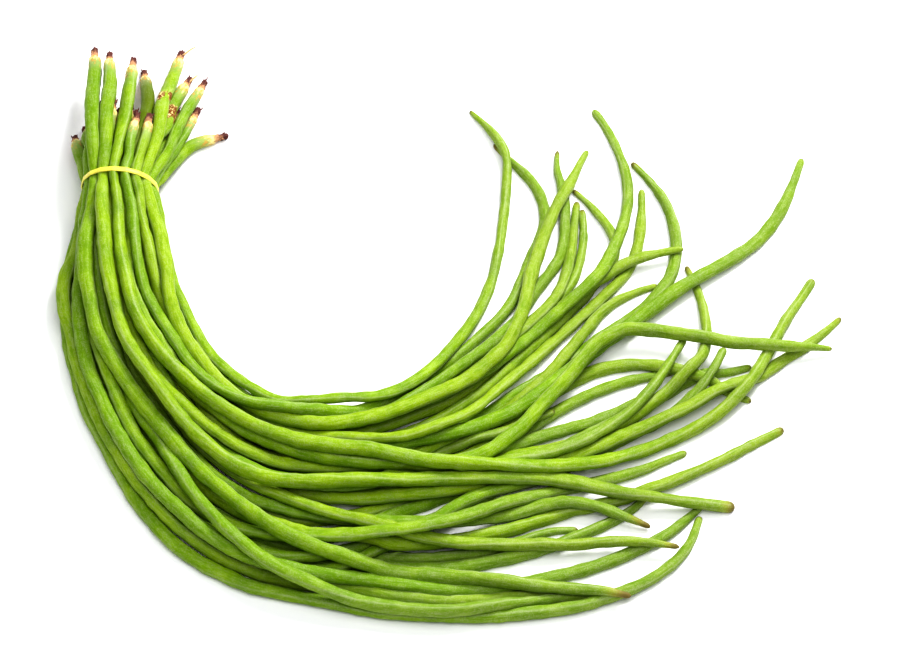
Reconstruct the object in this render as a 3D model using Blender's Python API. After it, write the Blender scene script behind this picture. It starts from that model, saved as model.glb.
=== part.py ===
"""A bunch of yardlong beans lying on its side, tied near the stalk ends by a rubber band.

Every pod is one closed solid. The pods leave the band as a round bundle, flatten as they sweep round
a bend, and fan out to their tips. Lengths in the tables are millimetres.
"""

import math
from collections import namedtuple

import bmesh
import bpy
import numpy as np
from mathutils import Vector

MM = 0.001

# --- the pods -----------------------------------------------------------------------------------
POD_RADIUS = 3.75
NECK_RADIUS = 2.78
GAP = 0.34
SIDES = 6
# A corner lower than this is laid flat on the table.
TABLE_REACH = 0.2
# Radii of a pod's stalk end, evenly from its cut end to the band.
STALK_RADII = (3.45, 3.6, 3.6, 3.5, 3.35, 3.1)
STALK_PARTS = len(STALK_RADII)
# The dried stub of the flower stalk: where its rings lie from the first one, and their radii. The last
# place is the shoulder of the pod, and the stalk's other rings follow evenly from there to the band.
STUB_PLACES = (0.0, 4.9, 7.6)
STUB_RADII = (1.2, 1.6)
# How far the closing cones reach beyond the last rings.
STUB_CONE = 0.8
TIP_CONE = 1.6
# Rings are turned a little to and fro, so that no corner lies on a straight line between its neighbours.
RING_TURN = math.radians(1.5)
STALK_DROOP = 0.8
POD_PARTS = 29
# How far apart the rings beyond the band lie, as weights at fractions of the way to the tip.
PART_PLACES = (0.0, 0.12, 0.55, 0.65, 1.0)
PART_WEIGHTS = (0.6, 1.0, 1.0, 0.65, 0.6)
# How a pod's radius changes from the band to the tip, as fractions of its length and of its full radius.
TAPER_PLACES = (0.08, 0.45, 0.80, 0.95, 1.0)
TAPER = (1.0, 1.0, 0.86, 0.70, 0.34)
SEED = 11

# --- the band and the round bundle it ties ------------------------------------------------------
BAND_X = -182.0
BAND_Y = 81.5
BAND_WIDTH = 2.6
BAND_THICK = 1.0
BAND_SIDES = 48
# Under the band every pod runs straight for this far to each side of the band's middle.
BAND_HOLD = 2.6
SLOT_PITCH = 5.96
OUTER_RING = 3
BUNDLE_RADIUS = OUTER_RING * SLOT_PITCH + NECK_RADIUS
BAND_INNER = BUNDLE_RADIUS + GAP
BAND_Z = (BAND_INNER + BAND_THICK) * math.cos(math.pi / BAND_SIDES)

# --- the lay of the bunch -----------------------------------------------------------------------
# Routes are drawn on the table along a slanting line of sight, so a point of a pod that lies at
# height z belongs LEAN * z nearer to the viewer than its place in the drawing.
LEAN = 1.0 / math.tan(math.radians(60))
LAYER = 8.2

# The two edges of the bundle as it sweeps round its bend, at the stations that the lanes refer to.
INNER_EDGE = ((-165, 74), (-153, 34), (-143, 3), (-119, -30), (-101, -40), (-84, -44), (-66, -44),
              (-46, -41))
OUTER_EDGE = ((-202, 80), (-210, 32), (-210, -6), (-197, -52), (-181, -90), (-149, -132),
              (-109, -158), (-60, -169))
LANE_STATIONS = (1, 3, 5, 7)
SPAN_POINTS = 12
EVENING_PASSES = 60

# Of each pod: its slot at the band (ring, step), its lanes across the sweep (0 inner, 1 outer) and its
# layers there, its layers at the start and the end of the fan, how stout it is, its route through the
# fan, and its stalk's route from the cut end, where one is drawn.
Pod = namedtuple("Pod", "slot lanes layers fan_layers girth fan stalk")
PODS = (
    Pod((3, 1), (0.01, 0, 0, 0), (1.6, 1, 2, 2), (2, 1), 0.80,
     ((-16, -30), (6, -1), (18, 20), (28, 58), (32, 102), (31, 119), (22, 133), (12, 143)),
     ((-135, 164), (-143, 150), (-155, 126), (-164, 107))),
    Pod((3, 4), (0.34, 0.13, 0.03, 0.05), (3.4, 3, 2.5, 2.2), (1.5, 0), 0.84,
     ((-11, -28), (16, -1), (34, 20), (44, 48), (53, 69), (52, 84), (45, 100), (35, 110), (25, 121)),
     ((-176, 139), (-175, 131), (-175, 118))),
    Pod((3, 0), (0.08, 0.1, 0.09, 0.13), (0.8, 0.8, 1.5, 1.2), (1, 0), 0.82,
     ((3, -23), (19, -9), (36, 7), (46, 27), (56, 42), (62, 51), (64, 75), (63, 93), (59, 104), (60, 117)),
     ((-139, 147), (-146, 128), (-160, 107))),
    Pod((3, 2), (0.09, 0.08, 0.1, 0.09), (2.4, 2.2, 2, 2), (3, 1.5), 0.94,
     ((3, -34), (26, -13), (38, 3), (43, 32), (48, 51), (54, 72), (63, 91), (76, 117)),
     ((-149, 183), (-154, 163), (-163, 137), (-167, 109))),
    Pod((3, 17), (0.14, 0.12, 0.05, 0.05), (0, 0, 0, 0), (0.5, 0), 0.85,
     ((0, -32), (27, -7), (36, 1), (52, 14), (60, 29), (66, 48), (68, 67), (70, 84)),
     ((-122, 125), (-130, 126), (-140, 126), (-150, 115), (-160, 99))),
    Pod((3, 16), (0.25, 0.2, 0.13, 0.13), (0, 0, 0, 0), (0, 0), 0.82,
     ((0, -36), (27, -10), (49, 10), (63, 26), (71, 43), (74, 61), (73, 79)), ()),
    Pod((3, 15), (0.35, 0.28, 0.22, 0.21), (0, 0, 0, 0), (0, 0), 0.80,
     ((0, -48), (30, -24), (60, 10), (82, 36), (93, 51), (90, 64), (87, 70), (78, 83), (69, 92)), ()),
    Pod((2, 0), (0.19, 0.19, 0.1, 0.1), (0.8, 0.8, 0.8, 0.6), (2, 1), 0.82,
     ((6, -34), (38, -6), (55, 11), (71, 27), (84, 41), (91, 56), (97, 74), (99, 93), (96, 112),
      (89, 130), (80, 143)), ()),
    Pod((2, 11), (0.29, 0.29, 0.18, 0.17), (0.8, 0.8, 0.6, 0.3), (1, 1), 0.90,
     ((2, -42), (28, -14), (50, 9), (66, 22), (82, 36), (98, 47), (113, 52), (127, 55)), ()),
    Pod((3, 3), (0.17, 0.06, 0.135, 0.19), (3, 2, 2, 2), (1.5, 0), 0.85,
     ((-17, -65), (6, -53), (27, -33), (49, -12), (66, 5), (82, 21), (96, 37), (103, 55), (106, 74),
      (106, 92)),
     ((-169, 141), (-171, 118))),
    Pod((3, 14), (0.45, 0.36, 0.3, 0.3), (0, 0, 0, 0), (0, 0.8), 0.95,
     ((-5, -70), (30, -45), (66, -16), (96, 8), (104, 15), (115, 29), (123, 45), (125, 62), (121, 82),
      (112, 97), (102, 109)), ()),
    Pod((2, 10), (0.36, 0.34, 0.26, 0.26), (0.8, 0.8, 0.6, 0.4), (1.5, 1), 0.96,
     ((-5, -65), (35, -48), (74, -15), (88, -1), (103, 10), (115, 23), (129, 33), (146, 43), (162, 53),
      (176, 67), (187, 88), (194, 111)), ()),
    Pod((2, 4), (0.53, 0.42, 0.36, 0.32), (3.1, 2.4, 1.5, 1.2), (1, 0), 0.86,
     ((-33, -80), (16, -60), (36, -44), (52, -27), (65, -10), (76, 5), (87, 19), (100, 27), (114, 31)), ()),
    Pod((1, 4), (0.47, 0.5, 0.62, 0.6), (1.6, 0, 1.1, 0.8), (1, 0.5), 0.95,
     ((0, -85), (50, -76), (80, -67), (107, -45), (119, -35), (133, -20), (140, -9), (141, 7), (139, 23),
      (134, 39), (131, 43)), ()),
    Pod((3, 5), (0.44, 0.24, 0.2, 0.23), (4, 3.3, 3, 3), (3, 0.5), 1.00,
     ((-27, -76), (16, -81), (60, -83), (93, -77), (113, -70), (132, -60), (148, -47), (162, -33),
      (170, -19), (179, -1), (188, 15), (199, 34)),
     ((-174, 178), (-177, 166), (-181, 150), (-184, 121))),
    Pod((2, 3), (0.44, 0.265, 0.25, 0.3), (2.5, 2.4, 1.2, 1), (1.8, 3), 0.97,
     ((-20, -82), (12, -82), (30, -67), (41, -55), (52, -42), (62, -30), (71, -17), (80, -6), (92, 3),
      (107, 5), (132, 1), (148, -3), (170, -6), (192, -6), (208, -8)),
     ((-170, 171), (-168, 163), (-168, 153), (-169, 142))),
    Pod((2, 2), (0.24, 0.35, 0.45, 0.47), (2.4, 1.7, 1, 1), (1, 0.5), 0.96,
     ((0, -98), (50, -82), (82, -68), (104, -59), (126, -48), (137, -40), (151, -32), (166, -27),
      (177, -19), (191, -10), (205, 1), (214, 10)),
     ((-144, 166), (-151, 152), (-161, 131))),
    Pod((3, 12), (0.62, 0.86, 0.9, 0.86), (0, 0, 0, 0), (0.5, 0), 0.90,
     ((0, -105), (60, -82), (113, -56), (126, -46), (139, -33), (147, -17), (150, -9)), ()),
    Pod((1, 5), (0.36, 0.44, 0.48, 0.47), (1.6, 0.8, 1.1, 0.8), (1.5, 1), 1.00,
     ((5, -86), (38, -79), (69, -69), (86, -58), (100, -46), (113, -31), (123, -13), (128, -3)), ()),
    Pod((3, 13), (0.51, 0.6, 0.72, 0.68), (0, 0, 0, 0), (0, 0), 0.94,
     ((11, -88), (60, -72), (99, -53), (115, -39), (132, -30), (140, -28), (151, -24), (164, -20)), ()),
    Pod((1, 0), (0.24, 0.3, 0.35, 0.35), (1.6, 1.6, 1.2, 0.8), (0, 0), 0.92,
     ((-5, -85), (28, -60), (60, -31), (77, -23), (93, -19), (113, -18), (131, -22), (142, -28), (154, -36),
      (164, -41)), ()),
    Pod((2, 9), (0.47, 0.4, 0.4, 0.4), (0.8, 0, 0.6, 0.4), (0.5, 0), 0.90,
     ((-5, -91), (28, -72), (52, -53), (60, -48), (77, -37), (93, -30), (109, -26), (122, -22)), ()),
    Pod((2, 1), (0.13, 0.2, 0.27, 0.28), (1.6, 1.6, 1, 1), (1, 1), 0.92,
     ((-27, -82), (22, -63), (38, -56), (56, -48)),
     ((-151, 147), (-157, 128))),
    Pod((2, 8), (0.58, 0.82, 0.86, 0.8), (0.8, 0.8, 0.6, 0.4), (0, 0), 0.92,
     ((27, -98), (60, -82), (89, -62), (101, -53)), ()),
    Pod((1, 1), (0.34, 0.42, 0.44, 0.43), (2.4, 1.6, 1.3, 1), (1, 0.7), 0.96,
     ((-27, -88), (0, -82), (33, -69), (55, -62), (74, -56), (91, -48), (103, -41)), ()),
    Pod((2, 6), (0.75, 0.76, 0.79, 0.65), (1.8, 1.4, 1.5, 1.2), (1.5, 0.5), 0.95,
     ((-38, -124), (-11, -119), (5, -115), (22, -109), (56, -99), (74, -93), (102, -86), (115, -80),
      (128, -74)), ()),
    Pod((3, 6), (0.59, 0.43, 0.47, 0.38), (3.7, 3.2, 2.2, 2), (2, 1), 1.04,
     ((-27, -91), (3, -88), (36, -89), (60, -90), (77, -94), (93, -99), (115, -102), (135, -105),
      (154, -108)),
     ((-190, 182), (-185, 166), (-188, 134))),
    Pod((1, 3), (0.58, 0.64, 0.67, 0.68), (1.6, 0.8, 1, 1), (0.5, 0.3), 0.98,
     ((-20, -130), (35, -123), (60, -110), (82, -107), (107, -98), (140, -84), (164, -70), (181, -60)), ()),
    Pod((3, 11), (0.75, 0.77, 0.8, 0.82), (0, 0.9, 0.5, 0), (0, 0), 0.92,
     ((-11, -147), (5, -146), (33, -141), (52, -135), (67, -127), (81, -121), (98, -111), (108, -98)), ()),
    Pod((0, 0), (0.64, 0.55, 0.58, 0.58), (2.5, 1.6, 1.1, 1), (1, 0.8), 0.95,
     ((-20, -118), (16, -116), (38, -110), (60, -105), (77, -106), (92, -112), (108, -120)), ()),
    Pod((1, 2), (0.54, 0.48, 0.49, 0.57), (2.3, 2.2, 1.5, 1), (1.5, 1), 0.95,
     ((-36, -123), (-22, -127), (-5, -129), (27, -131), (71, -131), (102, -130), (123, -133)), ()),
    Pod((2, 7), (0.69, 0.69, 0.74, 0.76), (0.8, 0, 0.5, 0), (0, 0), 0.90,
     ((-11, -140), (16, -137), (41, -128), (54, -123), (68, -122)), ()),
    Pod((3, 7), (0.79, 0.63, 0.6, 0.76), (2.9, 2.9, 3, 2.5), (2.5, 1.5), 1.04,
     ((-36, -147), (-11, -150), (16, -153), (44, -157), (71, -159), (97, -163)),
     ((-197, 185), (-197, 175), (-195, 150), (-195, 115))),
    Pod((3, 8), (0.88, 0.88, 0.85, 0.86), (2.1, 1.8, 1.2, 1), (1, 0), 0.96,
     ((-38, -154), (-16, -159), (16, -161), (44, -156), (66, -149), (88, -142), (110, -131), (125, -120),
      (139, -106)),
     ((-189, 147), (-192, 125))),
    Pod((3, 10), (0.88, 0.97, 1, 1), (0.3, 0, 0, 0), (0, 0), 1.00,
     ((-27, -175), (-5, -176), (27, -176), (60, -173), (77, -168), (92, -161), (107, -154), (122, -143),
      (131, -130), (136, -115)),
     ((-191, 128), (-195, 113))),
    Pod((2, 5), (0.68, 0.67, 0.75, 0.95), (3.3, 2.2, 2.5, 1.8), (1.5, 1), 1.03,
     ((-38, -170), (-11, -173), (22, -171), (52, -165), (77, -163)), ()),
    Pod((3, 9), (0.96, 0.94, 0.93, 0.895), (1.2, 0.9, 1, 1), (1, 0.5), 0.97,
     ((-22, -166), (11, -166), (38, -163), (60, -162)),
     ((-207, 126), (-200, 120))),
)

POD_GREEN = (0.22, 0.42, 0.03)
BAND_YELLOW = (0.9, 0.75, 0.04)

# --- the settling of the pile -------------------------------------------------------------------
SETTLE_ROUNDS = 420
SPREAD_ROUNDS = 12
STUB_ROUNDS = 12
STUB_PULL = 0.6
SINK = 0.1
# How much of an overlap one push takes away, how far it overshoots, and the fewest pushes it is shared by.
PUSH_SHARE = 0.9
OVER_PUSH = 1.25
FEWEST_PUSHES = 0.55
ROUTE_PULL = 0.20
STIFFNESS = 0.06
STIFF_PASSES = 3
PAIR_REACH = 34.0
PAIR_REFRESH = 12


def smooth_curve(points):
    """Points along a Catmull-Rom curve through the given points."""
    points = np.asarray(points, float)
    padded = np.vstack((2 * points[0] - points[1], points, 2 * points[-1] - points[-2]))
    t = (np.arange(SPAN_POINTS) / SPAN_POINTS)[:, None]
    spans = []
    for a, b, c, d in zip(padded, padded[1:], padded[2:], padded[3:]):
        spans.append(0.5 * (2 * b + (c - a) * t + (2 * a - 5 * b + 4 * c - d) * t**2
                            + (3 * b - a - 3 * c + d) * t**3))
    return np.vstack(spans + [points[-1:]])


def evened(line, passes):
    """The line with its small bends evened out and its ends kept."""
    for _ in range(passes):
        line[1:-1] = (line[:-2] + 2 * line[1:-1] + line[2:]) / 4
    return line


def lengths_along(line):
    """Distance along a line at each of its points."""
    steps = np.sqrt(((line[1:] - line[:-1])**2).sum(axis=1))
    return np.concatenate(([0.0], np.cumsum(steps)))


def read_at(curve, lengths, places):
    """The curve read at some distances along it."""
    return np.stack([np.interp(places, lengths, axis) for axis in curve.T], axis=1)


def part_fractions():
    """Where a pod's rings lie beyond the band: closer together by the band and toward the curled tip."""
    weights = np.interp(np.arange(POD_PARTS) / POD_PARTS, PART_PLACES, PART_WEIGHTS)
    return np.concatenate(([0.0], np.cumsum(weights) / weights.sum()))


def slot_place(ring, step):
    """Across and height of one pod in the round bundle under the band."""
    angle = 2 * math.pi * step / max(6 * ring, 1)
    radius = ring * SLOT_PITCH
    return radius * math.cos(angle), BAND_Z + radius * math.sin(angle)


def drawn(x, y, z):
    """A drawing point for a real place: the slanting sight line carries height into the drawing."""
    return (x, y + LEAN * z, z)


def lane_points(across, lanes, layers):
    """Drawing points of one pod through the sweep, between the bundle's two edges."""
    inner, outer = np.array(INNER_EDGE, float), np.array(OUTER_EDGE, float)
    start = np.clip(0.5 - across / (2 * OUTER_RING * SLOT_PITCH), 0, 1)
    stations = np.arange(len(inner))
    known = (0,) + LANE_STATIONS
    lane = np.interp(stations, known, (start,) + tuple(lanes))[:, None]
    layer = np.interp(stations, LANE_STATIONS, layers)
    return np.column_stack((inner + (outer - inner) * lane, POD_RADIUS + LAYER * layer))[1:]


def stalk_points(across, height, stalk, rng):
    """Drawing points of the stalk end, from its tip to near the band. An unseen one runs on straight."""
    end_height = POD_RADIUS + STALK_DROOP * height
    if stalk:
        heights = np.linspace(end_height, height, len(stalk) + 1)[:-1]
        return [(x, y, z) for (x, y), z in zip(stalk, heights)]
    reach = rng.uniform(38, 58)
    splay = 0.7 + 0.3 * rng.uniform()
    return [drawn(BAND_X + across * splay, BAND_Y + reach, end_height)]


def route_of(pod, rng):
    """One pod's ring centres before the pile settles, from cut end to tip, in drawing coordinates."""
    across, height = slot_place(*pod.slot)
    stalk = stalk_points(across, height, pod.stalk, rng)
    band = drawn(BAND_X + across, BAND_Y, height)
    sweep = lane_points(across, pod.lanes, pod.layers)
    heights = POD_RADIUS + LAYER * np.linspace(pod.fan_layers[0], pod.fan_layers[1], len(pod.fan))
    fan = np.column_stack((pod.fan, heights))
    curve = evened(smooth_curve(np.vstack((stalk, [band], sweep, fan))), EVENING_PASSES)
    at_band = int(((curve - band)**2).sum(axis=1).argmin())
    lengths = lengths_along(curve[:, :2])
    stem = read_at(curve, lengths, np.linspace(STUB_CONE, lengths[at_band], STALK_PARTS + 1)[:-1])
    beyond = lengths[at_band] + part_fractions()[1:] * (lengths[-1] - lengths[at_band])
    hold = np.array((0.0, BAND_HOLD, 0.0))
    return np.vstack((stem, [band + hold, band - hold], read_at(curve, lengths, beyond)))


def radii(girth):
    """Ring radii of a pod: its stalk end, a neck pinched by the band, the full pod, and a tapering tip."""
    full = POD_RADIUS * girth
    widths = [NECK_RADIUS] + [full * part for part in TAPER]
    body = np.interp(part_fractions(), (0.0,) + TAPER_PLACES, widths)
    return np.concatenate((np.array(STALK_RADII) * girth, [NECK_RADIUS], body))


def near_pairs(points, owner):
    """Pairs of segments of different pods that lie near each other."""
    middle = (points[:, :-1] + points[:, 1:]).reshape(-1, 3) / 2
    apart = sum((middle[:, None, k] - middle[None, :, k])**2 for k in range(3))
    first, second = np.nonzero((apart < PAIR_REACH**2) & (owner[:, None] < owner[None, :]))
    return first, second


def closest_between(a, b, c, d):
    """Fractions along segments a-b and c-d of their closest points."""
    u, v, w = b - a, d - c, a - c
    uu, uv, vv = (u * u).sum(1), (u * v).sum(1), (v * v).sum(1)
    uw, vw = (u * w).sum(1), (v * w).sum(1)
    spread = np.maximum(uu * vv - uv * uv, 1e-9)
    s = np.clip((uv * vw - vv * uw) / spread, 0, 1)
    t = np.clip((uv * s + vw) / vv, 0, 1)
    s = np.clip((uv * t - uw) / uu, 0, 1)
    return s, t


def push_apart(points, radius, held, pairs):
    """Moves overlapping pods apart along their shortest joining line."""
    rings = points.shape[1]
    flat, thick, hold = points.reshape(-1, 3), radius.reshape(-1), held.reshape(-1)
    first, second = (k // (rings - 1) * rings + k % (rings - 1) for k in pairs)
    s, t = closest_between(flat[first], flat[first + 1], flat[second], flat[second + 1])
    on_first = flat[first] + (flat[first + 1] - flat[first]) * s[:, None]
    on_second = flat[second] + (flat[second + 1] - flat[second]) * t[:, None]
    need = (thick[first] * (1 - s) + thick[first + 1] * s + thick[second] * (1 - t)
            + thick[second + 1] * t + GAP)
    line = on_first - on_second
    apart = np.sqrt((line * line).sum(1)) + 1e-9
    deep = need - apart
    touch = deep > 0
    push = (line[touch] / apart[touch, None]) * (deep[touch, None] * 0.5 * PUSH_SHARE)
    moved, count = np.zeros_like(flat), np.zeros(len(flat))
    ends = ((first, 1 - s, 1), (first + 1, s, 1), (second, 1 - t, -1), (second + 1, t, -1))
    for index, weight, sign in ends:
        amount = weight[touch]
        for axis in range(3):
            moved[:, axis] += np.bincount(index[touch], sign * amount * push[:, axis], len(flat))
        count += np.bincount(index[touch], amount, len(flat))
    flat += hold[:, None] * moved / np.maximum(count, FEWEST_PUSHES)[:, None] * OVER_PUSH


def stiffened(values):
    """The values with their bends along each pod evened out."""
    for _ in range(STIFF_PASSES):
        bend = values[:, :-2] + values[:, 2:] - 2 * values[:, 1:-1]
        change = np.zeros_like(values)
        change[:, 1:-1] += 2 * bend
        change[:, :-2] -= bend
        change[:, 2:] -= bend
        values = values + STIFFNESS * change
    return values


def sink(points, routes):
    """Lets the pods sink a little, each evening out its bends and drawn back toward its route."""
    points[:, :, 2] = stiffened(points[:, :, 2]) - SINK
    off = points[:, :, :2] - routes[:, :, :2]
    off[:, :, 1] += LEAN * points[:, :, 2]
    points[:, :, :2] += stiffened(off) - off - ROUTE_PULL * off


def straighten_stubs(points):
    """Brings every stub back into line with the stalk behind it."""
    shoulder = points[:, len(STUB_RADII)]
    ahead = shoulder - points[:, len(STUB_RADII) + 1]
    ahead /= np.sqrt((ahead**2).sum(axis=1))[:, None]
    for ring, place in enumerate(STUB_PLACES[:-1]):
        in_line = shoulder + ahead * (STUB_PLACES[-1] - place)
        points[:, ring] += (in_line - points[:, ring]) * STUB_PULL


def parted(points, radius, rounds, routes=None):
    """The pods moved apart until none overlap, also sinking along their routes where those are given."""
    points = points.copy()
    banded = slice(STALK_PARTS, STALK_PARTS + 2)
    held = np.ones(radius.shape)
    held[:, banded] = 0.0
    fixed = points[:, banded].copy()
    owner = np.repeat(np.arange(len(points)), points.shape[1] - 1)
    floor = radius * math.cos(math.pi / SIDES)
    for turn in range(rounds):
        if turn % PAIR_REFRESH == 0:
            pairs = near_pairs(points, owner)
        if routes is not None:
            sink(points, routes)
        for _ in range(2):
            push_apart(points, radius, held, pairs)
            points[:, :, 2] = np.maximum(points[:, :, 2], floor)
        points[:, banded] = fixed
    return points


def with_stub(line, radius):
    """One pod and its radii, with the stalk's rings moved to draw its stub and its shoulder."""
    stalk = line[:STALK_PARTS + 1]
    lengths = lengths_along(stalk)
    evenly = np.linspace(STUB_PLACES[-1], lengths[-1], STALK_PARTS - len(STUB_RADII) + 1)[1:-1]
    places = np.concatenate((STUB_PLACES, evenly))
    thick = np.interp(places, lengths, radius[:STALK_PARTS + 1])
    thick[:len(STUB_RADII)] = STUB_RADII
    moved = read_at(stalk, lengths, places)
    return np.vstack((moved, line[STALK_PARTS:])), np.concatenate((thick, radius[STALK_PARTS:]))


def settled(routes, radius):
    """The pile that the drawn pods sink into, and its radii, with a stub drawn on every stalk."""
    dropped = routes.copy()
    dropped[:, :, 1] -= LEAN * dropped[:, :, 2]
    pile = parted(dropped, radius, SETTLE_ROUNDS, routes)
    pods = [with_stub(line, thick) for line, thick in zip(pile, radius)]
    points, thick = (np.stack(part) for part in zip(*pods))
    for _ in range(STUB_ROUNDS):
        straighten_stubs(points)
        points = parted(points, thick, SPREAD_ROUNDS)
    return points, thick


def ring_points(points, radius):
    """The corners of every ring of one pod, a flat side down, flattened where they meet the table."""
    along = np.gradient(points, axis=0)
    along /= np.sqrt((along**2).sum(axis=1))[:, None]
    side = np.stack((along[:, 1], -along[:, 0], np.zeros(len(along))), axis=1)
    side /= np.sqrt((side**2).sum(axis=1))[:, None]
    up = np.cross(side, along)
    corners = []
    turn = RING_TURN * (-1.0)**np.arange(len(points))[:, None]
    for k in range(SIDES):
        angle = 2 * math.pi * (k + 0.5) / SIDES + math.pi / 2 + turn
        corners.append(points + radius[:, None] * (side * np.cos(angle) + up * np.sin(angle)))
    rings = np.stack(corners, axis=1)
    rings[:, :, 2] = np.where(rings[:, :, 2] < TABLE_REACH, 0.0, rings[:, :, 2])
    return rings


def pole_beyond(end, before, reach):
    """The point that closes a pod just beyond its last ring, kept off the table."""
    ahead = end - before
    pole = end + ahead * (reach / np.sqrt((ahead * ahead).sum()))
    return (pole[0], pole[1], max(pole[2], 0.5 * end[2]))


def poles_of(line):
    """The two points that close one pod, at its cut end and at its tip."""
    return np.array((pole_beyond(line[0], line[1], STUB_CONE), pole_beyond(line[-1], line[-2], TIP_CONE)))


def add_object(name, mesh_maker, material):
    """A named object from a function that fills a bmesh, with one material."""
    body = bmesh.new()
    mesh_maker(body)
    bmesh.ops.triangulate(body, faces=body.faces[:])
    bmesh.ops.recalc_face_normals(body, faces=body.faces[:])
    mesh = bpy.data.meshes.new(name)
    body.to_mesh(mesh)
    body.free()
    mesh.materials.append(material)
    mesh.shade_smooth()
    placed = bpy.data.objects.new(name, mesh)
    bpy.context.scene.collection.objects.link(placed)
    return placed


def fill_pod(body, rings, ends):
    """A tube through the rings, closed by a low cone at each end."""
    loops = [[body.verts.new(Vector(corner) * MM) for corner in ring] for ring in rings]
    for near, far in zip(loops, loops[1:]):
        for k in range(SIDES):
            body.faces.new((near[k - 1], near[k], far[k], far[k - 1]))
    for loop, end in zip((loops[0], loops[-1]), ends):
        pole = body.verts.new(Vector(end) * MM)
        for k in range(SIDES):
            body.faces.new((loop[k - 1], loop[k], pole))


def fill_band(body, centre):
    """A flat strip turned round the bundle, its lowest facet level with the table."""
    profile = [(BAND_INNER, -BAND_WIDTH / 2), (BAND_INNER, BAND_WIDTH / 2),
               (BAND_INNER + BAND_THICK, BAND_WIDTH / 2), (BAND_INNER + BAND_THICK, -BAND_WIDTH / 2)]
    turned = []
    for k in range(BAND_SIDES):
        angle = 2 * math.pi * (k + 0.5) / BAND_SIDES
        turned.append([body.verts.new(Vector((centre[0] + r * math.cos(angle), centre[1] + y,
                                              centre[2] + r * math.sin(angle))) * MM) for r, y in profile])
    for k, ring in enumerate(turned):
        for j in range(len(profile)):
            body.faces.new((turned[k - 1][j - 1], turned[k - 1][j], ring[j], ring[j - 1]))


def make_material(name, colour, roughness):
    material = bpy.data.materials.new(name)
    material.use_nodes = True
    shader = material.node_tree.nodes["Principled BSDF"]
    shader.inputs["Base Color"].default_value = (*colour, 1)
    shader.inputs["Roughness"].default_value = roughness
    material.diffuse_color = (*colour, 1)
    return material


def clear_scene():
    for thing in list(bpy.data.objects):
        bpy.data.objects.remove(thing)


def main():
    clear_scene()
    rng = np.random.default_rng(SEED)
    routes = np.stack([route_of(pod, rng) for pod in PODS])
    radius = np.stack([radii(pod.girth) for pod in PODS])
    points, radius = settled(routes, radius)
    rings = [ring_points(line, thick) for line, thick in zip(points, radius)]
    ends = [poles_of(line) for line in points]
    corners = np.vstack([ring.reshape(-1, 3) for ring in rings] + ends)
    middle = (corners.min(axis=0) + corners.max(axis=0)) / 2
    shift = np.array((middle[0], middle[1], 0.0))
    for number, (ring, poles) in enumerate(zip(rings, ends), start=1):
        shade = 0.8 + 0.4 * rng.uniform()
        material = make_material(f"pod_skin_{number:02d}", [c * shade for c in POD_GREEN], 0.4)
        add_object(f"pod_{number:02d}", lambda body: fill_pod(body, ring - shift, poles - shift), material)
    centre = np.array((BAND_X, BAND_Y, BAND_Z)) - shift
    rubber = make_material("band_rubber", BAND_YELLOW, 0.5)
    add_object("rubber_band", lambda body: fill_band(body, centre), rubber)


main()
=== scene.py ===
"""A tied bunch of yardlong beans: pods with seed swellings, pale collars and dried stubs, and a rubber band.

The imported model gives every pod's run and thickness. Each pod is swept again along that run as a fine
skin, and the band is wrapped round the pods where it ties them. All lengths are metres.
"""

import math

import bmesh
import bpy
import numpy as np
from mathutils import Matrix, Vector


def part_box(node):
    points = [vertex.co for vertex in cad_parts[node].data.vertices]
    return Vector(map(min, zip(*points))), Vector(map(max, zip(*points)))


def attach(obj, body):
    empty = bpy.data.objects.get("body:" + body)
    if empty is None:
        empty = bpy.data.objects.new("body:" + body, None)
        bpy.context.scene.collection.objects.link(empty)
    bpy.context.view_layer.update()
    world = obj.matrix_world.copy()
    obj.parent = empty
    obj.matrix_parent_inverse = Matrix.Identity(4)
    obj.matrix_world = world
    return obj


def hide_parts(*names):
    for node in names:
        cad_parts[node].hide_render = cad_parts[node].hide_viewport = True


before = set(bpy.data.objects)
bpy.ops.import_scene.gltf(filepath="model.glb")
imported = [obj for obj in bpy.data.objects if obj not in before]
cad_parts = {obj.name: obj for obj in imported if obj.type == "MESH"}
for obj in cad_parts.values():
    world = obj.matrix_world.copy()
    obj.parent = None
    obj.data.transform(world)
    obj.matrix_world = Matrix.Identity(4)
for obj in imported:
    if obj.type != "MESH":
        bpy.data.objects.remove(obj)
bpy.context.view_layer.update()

bl_info = {
    "name": "Yardlong Bean Bunch",
    "version": (1, 0, 0),
    "blender": (4, 5, 0),
    "location": "3D View > Sidebar > Beans",
    "description": "Builds the skins of a tied bunch of yardlong beans, its rubber band and a pale stage",
    "category": "Add Mesh",
}

PODS = sorted(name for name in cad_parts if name.startswith("pod_"))
BAND = "rubber_band"
CAD_SIDES = 6
# How near two corners of the frame's loose triangles lie when they are one corner.
CORNER_MERGE = 0.00001
# Lowest height of a skin, just over the table.
TABLE = 0.00005
# Points along each span of a pod's run, round the band's loop and along a wisp.
SPAN_STEPS = 24
LOOP_POINTS = 240
WISP_POINTS = 10
# How near its middle the band takes in a pod's run.
BAND_REACH = 0.03
# Lights: where they stand and how wide they are.
KEY_PLACE, KEY_SIZE = (0.75, 1.1, 1.6), 0.75
TOP_PLACE, TOP_SIZE = (0, -0.3, 2.2), 2.0
SKY_COLOUR = (0.94, 0.97, 1, 1)
FLOOR_HALF = 6.0
SENSOR_WIDTH = 36.0
# Scales of unevenness in the shapes, in waves to a metre.
SWAY_SCALE = 24.0
TURN_SCALE = 5.0
WAVER_SCALE = 24.0
SEED_DRIFT_SCALE = 30.0
SEED_SHOW_SCALE = 45.0
LUMP_SCALE = 70.0
RIB_SCALE = 330.0
TEAR_SCALE = 950.0
# Scales of the patterns in the materials, in waves to a metre.
PATCH_SCALE = 60.0
SPOT_SCALE = 150.0
SCAR_SCALE = 210.0
BLOTCH_SCALE = 420.0
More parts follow.
